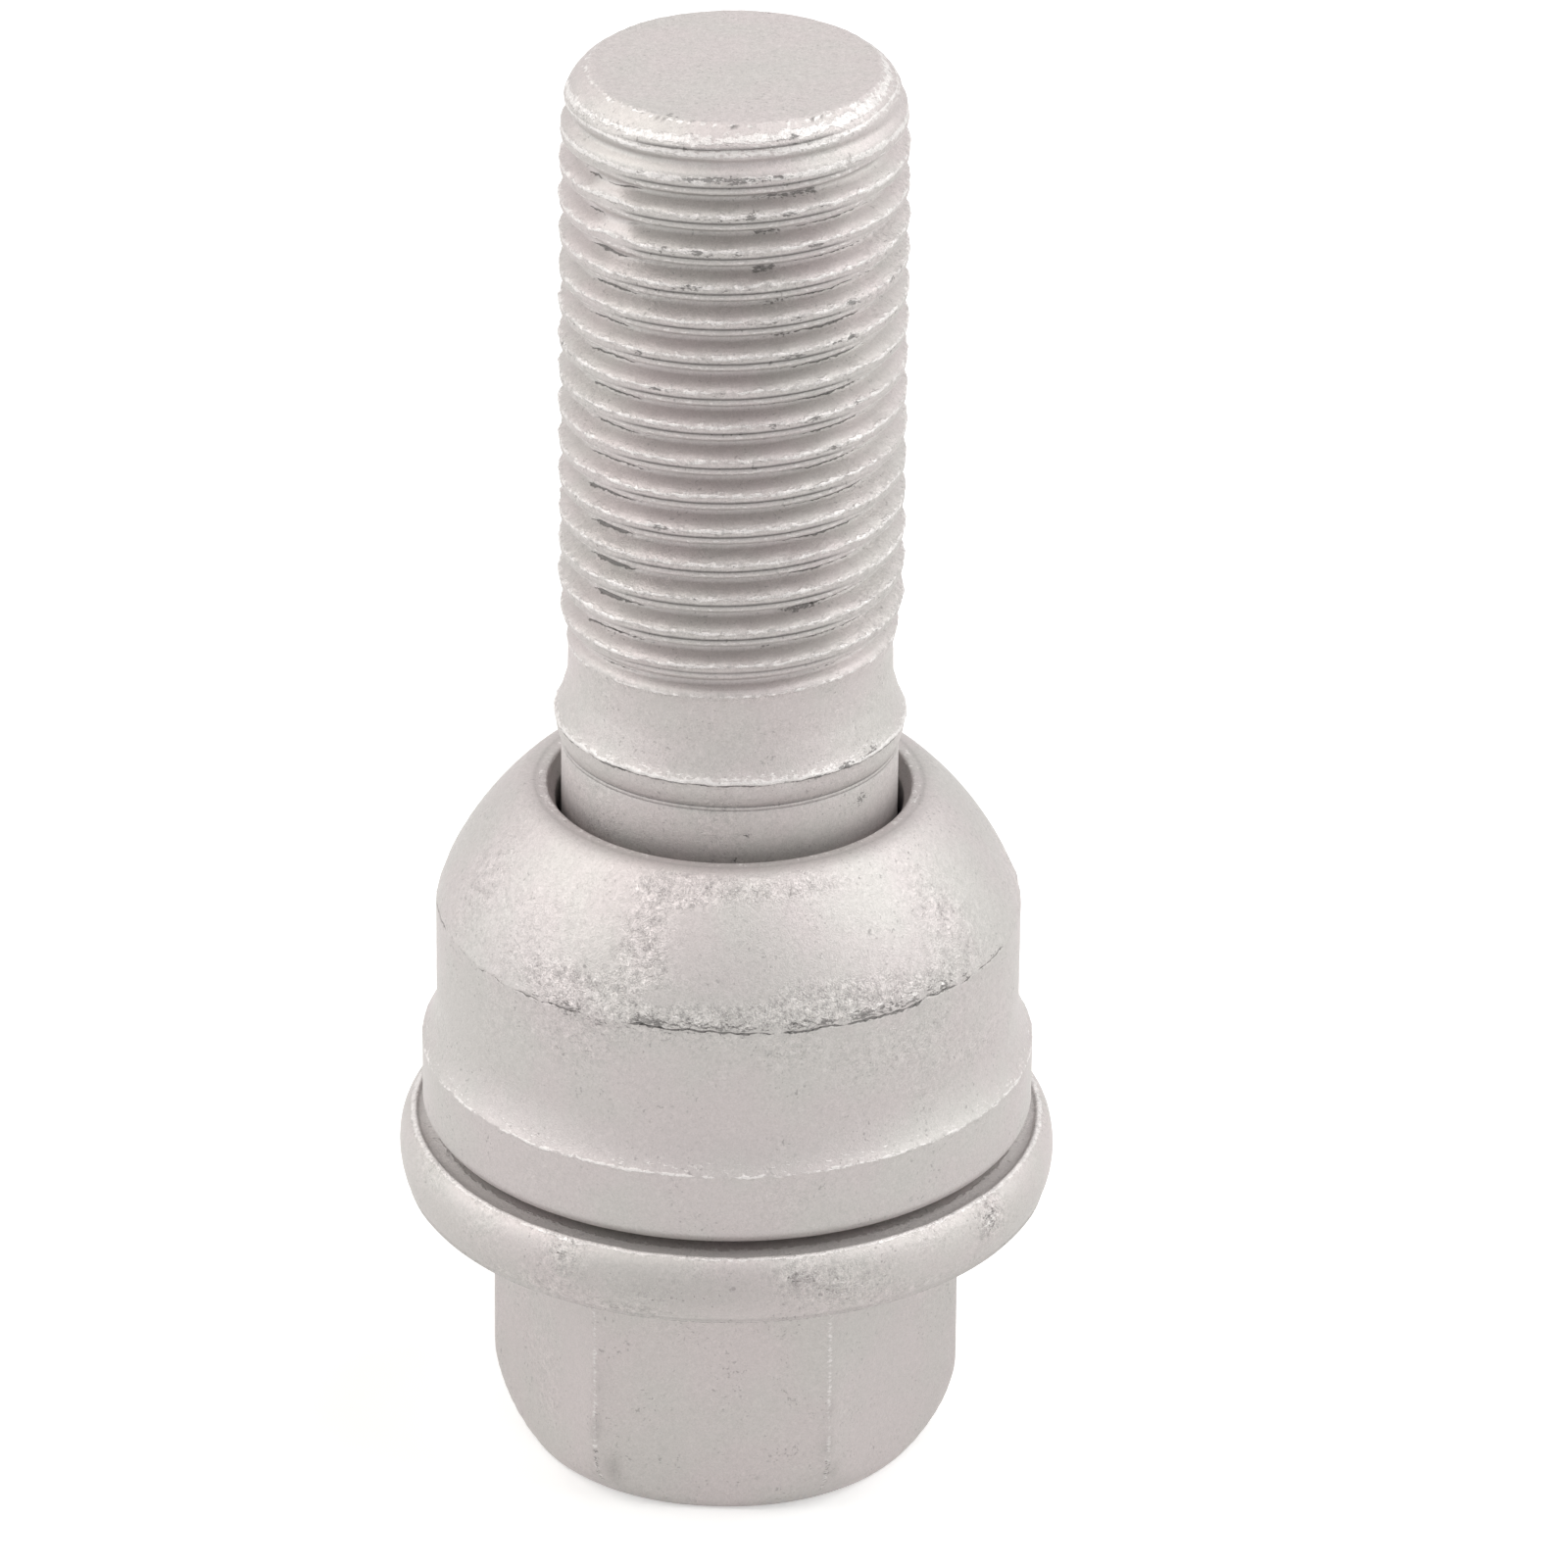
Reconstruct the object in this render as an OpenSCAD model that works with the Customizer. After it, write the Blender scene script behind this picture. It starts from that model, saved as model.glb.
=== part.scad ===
// Two-piece wheel bolt: a forged bolt with a hexagon head, and a loose ball-seat collar on its shank.
// It stands on its head. The origin is the centre of the head's end face, and +Z points to the thread's tip.

/* [Bolt] */
// Overall length, from the head's end face to the thread's tip
overall_l = 61; // [50:0.5:75]
// Nominal diameter over the thread's crests
thread_d = 14; // [12:0.5:16]
// Rise of one turn of the thread
pitch = 1.5; // [1:0.25:2]
// How far the tip's flat disc stays inside the crests
tip_inset = 1.3; // [0.8:0.05:2]
// Height of the tip's rounding, which runs over the first crests
tip_round_h = 2.6; // [1.5:0.1:3.5]
// How far the neck under the thread lies inside the crests
neck_inset = 0.4; // [0.2:0.05:0.6]
// Height of the plain neck between the bead and the fading crests
neck_l = 2.65; // [1:0.05:6]
// How far the shank in the collar lies inside the crests
shank_inset = 0.13; // [0.05:0.01:0.5]
// Turns over which the groove rises out of the neck
runout_turns = 1; // [0.5:0.25:1.5]
// Direction in which the groove starts, seen from the tip
groove_start = 33.5; // [0:0.5:360]

/* [Hexagon head] */
// Width across the flats, for the wheel wrench
hex_af = 17; // [15:0.5:19]
// Height of the hexagon, from its end face to the flange
hex_h = 11.5; // [8:0.5:16]
// How far the six long corners are worn back
corner_wear = 0.05; // [0.02:0.01:0.4]
// How far the flat end face stays inside the flats
end_inset = 0.3; // [0.1:0.05:1]
// Radius of the crowned edge round the end face
crown_r = 4; // [3:0.1:5]

/* [Flange] */
// How far the flange stands out past the collar's band
flange_ledge = 1; // [0.5:0.05:3]
// Height of the flange's rim
flange_h = 3; // [2:0.1:5]
// How far the rim bulges past its flat faces
rim_bulge = 0.65; // [0.4:0.05:0.8]
// Height of the raised lip round the seat face
lip_h = 0.1; // [0:0.02:0.3]
// Width of the lip's inner slope
lip_w = 0.15; // [0.1:0.05:0.4]

/* [Retaining bead] */
// How far the bead stands out past the collar's bore, so that it keeps the collar on
bead_hold = 0.07; // [0.04:0.01:0.3]
// Free height between the collar's top face and the bead
bead_rise = 2.5; // [1:0.05:5]
// Height of the bead's rounded underside
bead_under_h = 0.85; // [0.4:0.05:1.5]
// Height of the bead's rounded upper side
bead_over_h = 1.4; // [0.8:0.05:3]

/* [Collar] */
// Height of the collar, from its base to its top face
collar_h = 15.05; // [12:0.05:20]
// Radius of the ball seat
ball_r = 12.8; // [12:0.1:15]
// How far the plain wall cuts in from the ball's widest
wall_inset = 0.8; // [0.4:0.05:1.5]
// How far the band at the collar's foot stands out past the plain wall
band_out = 0.6; // [0.2:0.05:1]
// Height of the band, from the collar's base
band_h = 3.45; // [2:0.05:4.5]
// Radius of the hollow flare between the wall and the band
flare_r = 4; // [2:0.1:6]
// Chamfer at the collar's outer and inner foot
foot_chamfer = 0.45; // [0.2:0.05:0.8]
// Gap all round between the shank and the collar's bore
bore_gap = 0.23; // [0.1:0.01:0.4]
// Width of the tapered mouth at the top of the bore
mouth_w = 0.34; // [0.1:0.02:0.6]
// Height of that mouth
mouth_h = 0.7; // [0.3:0.05:1.5]
// Width of the flat top face round the mouth
top_land = 0.47; // [0.2:0.01:1]
// Radius of the rounding between that face and the ball
top_round_r = 1.3; // [0.3:0.05:1.5]
// Running gap between the collar's base and the flange
seat_gap = 0.1; // [0.06:0.01:0.3]

/* [Hidden] */
$fn = 96;
bolt_colour = [0.76, 0.74, 0.74];
collar_colour = [0.81, 0.79, 0.78];
// Steps of one rounded edge, and steps of the groove for each turn
arc_n = 8;
groove_n = 30;
// Overrun that carries cutters and joined bodies past the faces they meet
past = 0.1;
// Radii that fit or pass each other, from the thread outwards
thread_r = thread_d / 2;
neck_r = thread_r - neck_inset;
shank_r = thread_r - shank_inset;
bore_r = shank_r + bore_gap;
bead_r = bore_r + bead_hold;
mouth_r = bore_r + mouth_w;
land_r = mouth_r + top_land;
wall_r = ball_r - wall_inset;
band_r = wall_r + band_out;
flange_r = band_r + flange_ledge;
rim_r = flange_r - rim_bulge;
// Heights, from the head upwards
flange_top_z = hex_h + flange_h;
seat_z = flange_top_z - lip_h;
collar_z = seat_z + seat_gap;
collar_top_z = collar_z + collar_h;
bead_z = collar_top_z + bead_rise + bead_under_h;
neck_z = bead_z + bead_over_h;
// Section of the thread: 60 degree flanks, crests cut flat and roots left narrow
flank_a = 30;
sharp_h = pitch * cos(flank_a);
crest_w = pitch / 8;
groove_depth = 17 / 24 * sharp_h;
root_w = pitch - crest_w - 2 * groove_depth * tan(flank_a);
// The crests fade into the neck over this height, and are full above thread_z
fade_h = neck_inset + pitch / 2;
thread_z = neck_z + neck_l + fade_h;
groove_z = thread_z - pitch * runout_turns / 2;
// The top rounding's centre, and the ball's centre, which puts that rounding flush inside the ball
round_z = collar_top_z - top_round_r;
ball_z = round_z - sqrt(pow(ball_r - top_round_r, 2) - land_r * land_r);
// Slope at which the rounding ends, where it runs on into the ball, and the seam with the plain wall
round_a = atan2(round_z - ball_z, land_r);
seam_z = ball_z + sqrt(ball_r * ball_r - wall_r * wall_r);

// Points of an elliptical arc, in the half plane of a turned outline
function arc(centre, size, from, to) =
  [for (i = [0:arc_n])
    let (a = from + (to - from) * i / arc_n)
    [centre[0] + size[0] * cos(a), centre[1] + size[1] * sin(a)]];

// Outline of the flange, the shank, the bead, the neck and the uncut thread
function bolt_outline() = concat(
  [[0, hex_h]],
  arc([rim_r, hex_h + flange_h / 2], [rim_bulge, flange_h / 2], -90, 90),
  [[rim_r - lip_w, seat_z],
   [shank_r, seat_z]],
  arc([shank_r, bead_z], [bead_r - shank_r, bead_under_h], -90, 0),
  arc([neck_r, bead_z], [bead_r - neck_r, bead_over_h], 0, 90),
  [[neck_r, thread_z - fade_h],
   [thread_r, thread_z]],
  arc([thread_r - tip_inset, overall_l - tip_round_h], [tip_inset, tip_round_h], 0, 90),
  [[0, overall_l]]);

// Outline that crowns the hexagon's end and wears back its corners
function head_outline() =
  let (worn_r = hex_af / 2 / cos(30) - corner_wear,
       crown_centre_r = worn_r - crown_r,
       end_r = hex_af / 2 - end_inset,
       crown_a = acos((end_r - crown_centre_r) / crown_r))
  concat(
    [[0, 0]],
    arc([crown_centre_r, crown_r * sin(crown_a)], [crown_r, crown_r], -crown_a, 0),
    [[worn_r, hex_h + past],
     [0, hex_h + past]]);

// Corners of the groove's section at one step of the helix
function groove_ring(i) =
  let (turn = i / groove_n,
       lift = max(0, 1 - turn / runout_turns) * (groove_depth - neck_inset + past),
       root_r = thread_r - groove_depth + lift,
       out_r = thread_r + past,
       out_w = root_w + 2 * (out_r - root_r) * tan(flank_a),
       z = groove_z + turn * pitch)
  [for (p = [[out_r, -out_w / 2], [root_r, -root_w / 2], [root_r, root_w / 2], [out_r, out_w / 2]])
    [p[0] * cos(360 * turn), p[0] * sin(360 * turn), z + p[1]]];

// The right-hand helical groove, from its run-out in the neck to above the tip
module thread_groove() {
  n = ceil((overall_l + pitch - groove_z) / pitch * groove_n);
  points = [for (i = [0:n]) each groove_ring(i)];
  sides = [for (i = [0:n - 1], k = [0:3])
    let (a = 4 * i + k, b = 4 * i + (k + 1) % 4)
    each [[a, b + 4, b], [a, a + 4, b + 4]]];
  ends = [[0, 1, 2, 3], [4 * n + 3, 4 * n + 2, 4 * n + 1, 4 * n]];
  rotate([0, 0, groove_start]) polyhedron(points, concat(ends, sides));
}

module hexagon_head() {
  intersection() {
    cylinder(d = hex_af / cos(30), h = hex_h + past, $fn = 6);
    rotate_extrude() polygon(head_outline());
  }
}

module wheel_bolt() {
  color(bolt_colour) difference() {
    union() {
      hexagon_head();
      rotate_extrude() polygon(bolt_outline());
    }
    thread_groove();
  }
}

// The ball seat, cut off by the plain wall, with the rounding that leads into the top face
module ball_seat() {
  ball_end_z = ball_z + ball_r * sin(round_a);
  intersection() {
    translate([0, 0, ball_z]) sphere(r = ball_r);
    translate([0, 0, seam_z - past]) cylinder(r = wall_r, h = ball_end_z - seam_z + past);
  }
  rotate_extrude() polygon(concat(
    [[0, ball_end_z]],
    arc([land_r, round_z], [top_round_r, top_round_r], round_a, 90),
    [[0, collar_top_z]]));
}

// Outline of the collar under the ball seat: foot, band, hollow flare and plain wall
function collar_outline() =
  let (flare_a = acos(1 - band_out / flare_r),
       flare_top_z = collar_z + band_h + flare_r * sin(flare_a))
  concat(
    [[0, collar_z],
     [band_r - foot_chamfer, collar_z],
     [band_r, collar_z + foot_chamfer]],
    arc([wall_r + flare_r, flare_top_z], [flare_r, flare_r], 180 + flare_a, 180),
    [[wall_r, seam_z],
     [0, seam_z]]);

// The bore with its tapered mouth and its chamfered foot
module collar_bore() {
  foot_w = foot_chamfer + past;
  translate([0, 0, collar_z - past]) cylinder(r = bore_r, h = collar_h + 2 * past);
  translate([0, 0, collar_top_z - mouth_h]) cylinder(r1 = bore_r, r2 = mouth_r, h = mouth_h);
  translate([0, 0, collar_z - past]) cylinder(r1 = bore_r + foot_w, r2 = bore_r, h = foot_w);
}

module seat_collar() {
  color(collar_colour) difference() {
    union() {
      ball_seat();
      rotate_extrude() polygon(collar_outline());
    }
    collar_bore();
  }
}

wheel_bolt();
seat_collar();
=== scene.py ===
# %% [markdown]
# # A wheel bolt with a loose seat collar
# A wheel bolt is cold forged from steel wire, and its thread is rolled on at the end. The
# collar with the ball seat is a second piece that turns on the shank. Both carry a thin pale
# coat of zinc flakes. The CAD model gives their exact sizes, and this lesson gives them the
# skin of the real thing.

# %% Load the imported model
import math
from functools import partial

import bmesh
import bpy
import numpy as np
from mathutils import Matrix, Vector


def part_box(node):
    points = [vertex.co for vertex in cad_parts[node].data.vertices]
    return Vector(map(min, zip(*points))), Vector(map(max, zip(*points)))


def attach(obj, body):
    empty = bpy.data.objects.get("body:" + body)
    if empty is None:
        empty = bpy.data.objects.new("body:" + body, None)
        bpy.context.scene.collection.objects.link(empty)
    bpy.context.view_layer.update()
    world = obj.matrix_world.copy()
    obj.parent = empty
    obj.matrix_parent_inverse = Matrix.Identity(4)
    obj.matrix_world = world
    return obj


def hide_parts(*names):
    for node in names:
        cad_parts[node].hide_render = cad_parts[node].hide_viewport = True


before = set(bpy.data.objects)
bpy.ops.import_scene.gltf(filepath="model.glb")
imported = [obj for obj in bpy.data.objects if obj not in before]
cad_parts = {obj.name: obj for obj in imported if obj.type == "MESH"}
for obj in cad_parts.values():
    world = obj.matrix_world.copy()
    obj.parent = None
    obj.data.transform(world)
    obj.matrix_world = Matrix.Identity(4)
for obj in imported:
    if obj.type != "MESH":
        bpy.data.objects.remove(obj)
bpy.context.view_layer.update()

# %% [markdown]
# ## Sizes in millimetres
# Every shape below is worked out in millimetres and scaled to Blender's metres once, when its
# mesh is made. Sizes that the CAD model has are read from its boxes, and the rest are the
# forging's own small radii.

# %% Read the main sizes
MM = 0.001
bolt_high = np.round(np.array(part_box("wheel_bolt")[1]) / MM, 2)
collar_low, collar_high = np.round(np.array(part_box("seat_collar")) / MM, 2)

BOLT_LENGTH = bolt_high[2]
FLANGE_RADIUS = bolt_high[0]
COLLAR_FOOT = collar_low[2]
BAND_RADIUS = collar_high[0]
THREAD_RADIUS = 7
NECK_RADIUS = 6.6
SHANK_RADIUS = 6.87
PITCH = 1.5
HEXAGON_FLAT = 8.5
FULL_TURN = 2 * math.pi
print("bolt", BOLT_LENGTH, "mm long, collar from", COLLAR_FOOT, "to", collar_high[2], "mm")

# %% [markdown]
# ## Noise for a forged skin
# Blender has noise textures for materials, but a burr or a dent should be in the mesh too, so
# a small noise of our own moves the vertices. Value noise is the simplest kind: random numbers
# at the corners of a grid of cubes, blended smoothly in between. They come from mixing the bits
# of the cube's own position, so the same place gets the same value on each run. Below, a wave
# of noise is written as its height and grain in millimetres and its seed, and a mark as a sum
# of weighed masks.

# %% Define the noise and the soft masks
AXIS_MIX = np.array([73856093, 19349663, 83492791])
SEED_MIX = 668265263
BIT_MIX = (15, 739982445), (12, 695872825)
WORD = 0xFFFFFFFF
HALF_WORD = 0xFFFF


def ramp(low, high, x):
    """0 below low, 1 above high, and 3t^2 - 2t^3 in between, where t is the share of the way."""
    t = np.clip((x - low) / (high - low), 0, 1)
    return t * t * (3 - 2 * t)


def band_at(values, level, spread):
    """A soft band of weight 1 at this level: the bell curve e^(-d^2 / 2s^2)."""
    return np.exp(-0.5 * ((values - level) / spread) ** 2)


def between(values, low, high):
    """1 where the values lie between low and high."""
    return (values > low) & (values < high)


def weighed(*pairs):
    """Sum of masks, each given after its weight."""
    return sum(weight * mask for weight, mask in pairs)


def lattice_noise(points, grain, seed):
    """Random values from -1 to 1 at the corners of cubes with sides of `grain`. Inside a cube
    each corner counts by the product of its smooth steps along the three axes."""
    place = np.asarray(points) / grain
    cell = np.floor(place).astype(np.int64)
    share = ramp(0, 1, place - cell)
    total = np.zeros(place.shape[:-1])
    for corner in np.ndindex(2, 2, 2):
        parts = (cell + np.array(corner)) * AXIS_MIX
        mixed = (parts[..., 0] ^ parts[..., 1] ^ parts[..., 2] ^ seed * SEED_MIX) & WORD
        for shift, factor in BIT_MIX:
            mixed = (mixed ^ mixed >> shift) * factor & WORD
        value = 2 * ((mixed ^ mixed >> BIT_MIX[0][0]) & HALF_WORD) / HALF_WORD - 1
        weight = np.where(np.array(corner) == 1, share, 1 - share).prod(axis=-1)
        total += weight * value
    return total


def waves(points, *layers):
    """Sum of noises, each given by its height and grain in millimetres and its seed."""
    return sum(tall * lattice_noise(points, grain, seed) for tall, grain, seed in layers)


def polar(angle, radius, height):
    """Cylinder coordinates as x, y and z: r cos(a), r sin(a) and h."""
    return np.stack([radius * np.cos(angle), radius * np.sin(angle), height], axis=-1)


def ring_waves(angle, *layers):
    """The same sum along a circle of the thread's radius: it depends on the angle only."""
    return waves(polar(angle, THREAD_RADIUS, np.zeros_like(angle)), *layers)


trial = ring_waves(np.linspace(0, FULL_TURN, 4000), (1, 0.5, 1))
print("noise from", round(trial.min(), 2), "to", round(trial.max(), 2))

# %% [markdown]
# ## The hexagon and the crown of the head
# The head is a hexagon for a 17 mm wrench, its corners worn a little round and its end crowned
# as if a bowl had been pressed over it. A power mean makes both: it gives the smallest of
# several distances but softens the place where two of them meet.

# %% Define the head's section
SHARPNESS = 90
CORNER_SHARPNESS = 220
CROWN_ARC = 4
CROWN_UPRIGHT = 3.1
CROWN_CENTRE = 5.75


def soft_least(one, other):
    """The power mean (a^-s + b^-s)^(-1/s): nearly the smaller of the two, with a soft corner."""
    return (one ** -SHARPNESS + other ** -SHARPNESS) ** (-1 / SHARPNESS)


def hexagon_radius(angle):
    """Distance to the hexagon's side in a direction: the apothem over the power mean of the
    cosines to the six flats' normals, 60 degrees apart."""
    normals = np.radians(30 + 60 * np.arange(6))
    cosines = np.clip(np.cos(angle[..., None] - normals), 1e-3, 1)
    return HEXAGON_FLAT / (cosines ** CORNER_SHARPNESS).sum(axis=-1) ** (1 / CORNER_SHARPNESS)


def crown_radius(height):
    """The crown's outline: an arc that ends upright where the straight corners begin."""
    below = np.clip(CROWN_UPRIGHT - height, 0, CROWN_ARC)
    return CROWN_CENTRE + np.sqrt(CROWN_ARC ** 2 - below ** 2)


print("across corners", round(2 * hexagon_radius(np.array([0]))[0], 2), "mm")

# %% [markdown]
# ## The turned outline of the bolt
# The rest up to the neck is round, and its outline is a list of heights and radii: the flange's
# round rim with a low lip, the flat under the collar, the shank with two fine turned lines, and
# the bead whose sharp lower edge keeps the collar from falling off.

# %% List the outline from the end face to the neck
RIM_CENTRE = 13
RIM_BULGE = 0.65
RIM_HALF = 1.42
LIP = 14.44
BEAD_EDGE = 32.87
UPPER_LINE = 31.72
LOWER_LINE = 31.555


def rows_of(heights, radii):
    """Rows of height and radius; a single radius counts for all heights."""
    return np.stack(np.broadcast_arrays(heights, radii), axis=-1)


def arc_of(centre_r, centre_h, half_r, half_h, first, last, count):
    """Points on an ellipse: centre plus half axes times cosine and sine of the turn."""
    turn = np.radians(np.linspace(first, last, count))
    return rows_of(centre_h + half_h * np.sin(turn), centre_r + half_r * np.cos(turn))


end_rows = np.array([[0, 1.6], [0, 3.2], [0, 4.8], [0, 6.4], [0, 7.5], [0, 8.02], [0.03, 8.18]])
crown_rows = np.array([
    0.1, 0.3, 0.55, 0.85, 1.18, 1.5, 1.82, 2.15, 2.5, 2.85, 3.2, 3.65, 4.2, 4.8, 5.6, 7.2, 9.4, 11.1, 11.34])
under_edge = np.array([[11.5, 12.95], [11.52, 13.1], [11.58, 13.21], [11.67, 13.285]])
rim_side = arc_of(FLANGE_RADIUS - RIM_BULGE, RIM_CENTRE, RIM_BULGE, RIM_HALF, -64, 66, 13)
lip_rows = np.array([
    [14.385, 13.13], [14.43, 13.05], [14.455, 12.98], [14.455, 12.92], [14.425, 12.87], [14.38, 12.82],
    [14.335, 12.76]])
seat_rows = np.array([
    [14.32, 12.5], [14.32, 12.2], [14.4, 12], [14.4, 9.5], [14.4, 7.5], [14.43, 7.08], [14.55, 6.91],
    [14.8, SHANK_RADIUS]])
shank_rows = rows_of([21, 27.6, 28.8, 29.4, 29.9, 30.4, 30.9, 31.35], SHANK_RADIUS)
line_rows = np.array([
    [31.52, SHANK_RADIUS], [LOWER_LINE, 6.845], [31.59, 6.872], [31.68, 6.875], [UPPER_LINE, 6.835],
    [31.76, 6.885]])
bead_rows = np.array([
    [31.92, 6.95], [32.1, 7.02], [32.3, 7.07], [32.52, 7.105], [32.7, 7.12], [32.79, 7.14], [32.85, 7.175],
    [32.91, 7.165], [32.98, 7.125], [33.14, 7.035], [33.32, 6.955], [33.54, 6.88], [33.8, 6.81],
    [34.06, 6.735], [34.3, 6.66], [34.58, 6.612]])
turned = np.concatenate([under_edge, rim_side, lip_rows, seat_rows, shank_rows, line_rows, bead_rows])
print("outline rows:", len(end_rows) + len(crown_rows) + len(turned))

# %% [markdown]
# ## The head and shank as a grid
# The outline is carried round in 252 columns. On the head they crowd together at the six
# corners, where the surface bends most, and spread out again on the way to the rim.

# %% Work out the head and shank
COLUMNS = 252
CROWDING = 0.09
FLANGE_FOOT = 11.5
FILLET_END = 12.3

even = np.arange(COLUMNS) / COLUMNS * FULL_TURN
crowd = -CROWDING * np.sin(6 * even) * math.radians(60)
fillet_gap = np.array([[0.05], [0.16], [0.36]])
fillet_rows = np.array([11.42, 11.49, FLANGE_FOOT])
under_share = np.array([[0.35], [0.7], [1]])

hexagon = hexagon_radius(even + crowd)[None, :]
head_radius = soft_least(hexagon, crown_radius(crown_rows)[:, None] + 0 * hexagon)
fillet_radius = hexagon + fillet_gap
under_radius = fillet_radius[-1] + (FILLET_END - fillet_radius[-1]) * under_share

radius = np.concatenate([np.repeat(end_rows[:, 1:], COLUMNS, axis=1), head_radius, fillet_radius,
                         under_radius, np.repeat(turned[:, 1:], COLUMNS, axis=1)])
levels = np.concatenate([end_rows[:, 0], crown_rows, fillet_rows, np.full(3, FLANGE_FOOT), turned[:, 0]])
height = np.repeat(levels[:, None], COLUMNS, axis=1)
relax = 1 - ramp(11.45, 13.2, levels)
relax[levels == FLANGE_FOOT] = np.linspace(1, 0.9, (levels == FLANGE_FOOT).sum())
angle = even + relax[:, None] * crowd
print("head and shank:", radius.shape[0], "rows of", COLUMNS)

# %% [markdown]
# ## Wear on the head, the flange and the bead
# Small dents are Gaussian hollows at chosen places. The rough spots are on the flange's rim,
# where parts knock against each other in the bin. The bead's edge has a burr, which runs up and
# down by a few hundredths of a millimetre and is torn in places.

# %% List the wear and its masks
# Each dent: direction in degrees, height, depth, spread round and spread along the axis
DENTS = [
    [244.3, 1.7, 0.1, 0.22, 0.45], [240.4, 3.6, 0.09, 0.2, 0.4], [241, 5.4, 0.05, 0.2, 0.35],
    [299.6, 3.2, 0.07, 0.22, 0.35], [300.3, 4.9, 0.06, 0.2, 0.3], [301.5, 1.9, 0.06, 0.3, 0.25],
    [59.2, 2.7, 0.1, 0.25, 0.4], [120.5, 5.2, 0.08, 0.25, 0.45], [118.8, 2.2, 0.08, 0.3, 0.3],
    [1, 6.4, 0.04, 0.25, 0.3]]
# Each spot: direction in degrees, height, spread round in degrees, spread along, strength
RIM_SPOTS = [
    [244, 13.9, 3, 0.6, 1.4], [286, 13.8, 3.2, 0.5, 1.1], [294, 13.1, 5.5, 0.65, 1.2],
    [327, 13.6, 2.6, 0.6, 1.8], [205.6, 14.9, 3, 0.4, 0.8], [229.7, 12, 1.8, 0.2, 1],
    [256, 11.9, 5, 0.15, 0.9], [309, 12.1, 5, 0.2, 0.8], [240, 12.2, 3, 0.2, 0.9],
    [40, 13.2, 8, 0.7, 0.8], [95, 13.8, 5, 0.6, 0.9], [150, 13, 8, 0.7, 0.7]]
SHANK_SPOTS = [
    [231, 32.87, 2, 0.08, 0.9], [264.5, 32.78, 1.6, 0.06, 1], [272, 32.78, 1.4, 0.06, 1],
    [303, 32.86, 3, 0.07, 1], [315, 32.92, 5, 0.1, 1.1], [328, 33.05, 4, 0.12, 1.1],
    [280, 30.4, 1, 0.2, 1.1], [275.5, 29.4, 1, 0.2, 1], [324, 30.9, 1.5, 0.2, 0.8],
    [70, 32.9, 6, 0.1, 1], [150, 32.86, 4, 0.08, 1]]


def angle_from(angle, degrees):
    """The angle to a direction in degrees, the short way round."""
    return (np.degrees(angle) - degrees + 180) % 360 - 180


def dent_depth(angle, radius, height, dents):
    """Sum of Gaussian hollows from a table of dents."""
    depth = np.zeros_like(radius)
    for degrees, level, deep, across, along in dents:
        aside = np.radians(angle_from(angle, degrees)) * radius
        depth += deep * band_at(aside, 0, across) * band_at(height, level, along)
    return depth


def spot_mask(angle, height, spots):
    """Sum of soft spots from a table of spots, at most 2."""
    mask = np.zeros_like(angle)
    for degrees, level, across, along, strength in spots:
        mask += strength * band_at(angle_from(angle, degrees), 0, across) * band_at(height, level, along)
    return np.minimum(mask, 2)


print("dents:", len(DENTS), "spots:", len(RIM_SPOTS) + len(SHANK_SPOTS))

# %% Press in the wear
CORNERS_TOP = 11.2
PIT_DEPTH = 0.07
TEAR_DEPTH = 0.045

at = polar(angle, radius, height)
forged = between(height, 0.05, 12) | between(height, 11.6, 14.3) & (radius > 12)
radius -= (height < CORNERS_TOP) * dent_depth(angle, radius, height, DENTS)
radius += forged * waves(at, (0.012, 1.7, 11), (0.006, 0.6, 12))

on_rim = ramp(12, 12.6, radius) * ramp(11.6, 12, height) * (height < 14.55)
rim_spots = spot_mask(angle, height, RIM_SPOTS) * on_rim
pits = np.clip(waves(at, (1, 0.36, 13), (0.5, 0.8, 14)) - 0.35, 0, 1)
radius += on_rim * (waves(at, (0.03, 2.6, 15)) - 0.027)
radius -= rim_spots * (PIT_DEPTH * pits + 0.015)
near_lip = band_at(height, LIP, 0.05) * (radius > 12.7)
height += near_lip * np.minimum(ring_waves(angle, (0.03, 0.4, 16), (0.02, 1.4, 17)), 0.02)

burr = band_at(height, BEAD_EDGE, 0.07)
ragged = ring_waves(angle, (0.065, 0.3, 21), (0.039, 0.9, 22))
height += band_at(height, BEAD_EDGE, 0.15) * ragged
radius += burr * np.minimum(ring_waves(angle, (0.03, 0.25, 23)), 0.02)
tears = ramp(0.3, 0.75, ring_waves(angle, (1, 0.36, 24)))
radius -= TEAR_DEPTH * tears * band_at(height, BEAD_EDGE - 0.03, 0.08)
radius += between(height, 28, 36) * waves(at, (0.004, 0.5, 25))
print("deepest pit on the rim", round(float((PIT_DEPTH * rim_spots * pits).max()), 2), "mm")

# %% [markdown]
# ## Marks on the vertices
# The material has to know where the steel is rubbed, dirty, flawed or rough, and where light
# and shade are painted into its colour. Six numbers on each vertex tell it: the chance of a
# rubbed lip, with painted light in some places, the amount of grime and painted shade, the
# chance of a flaw, with painted shadow in the thread's grooves, the roughness, the distance
# across a thin dark line, which is 0.5 on the line, and how far that line is open.

# %% Mark the head, the flange and the bead
FRONT = 266

# Painted light: the flange's seat under the collar's foot is made paler, to lift the shade of the gap
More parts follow.
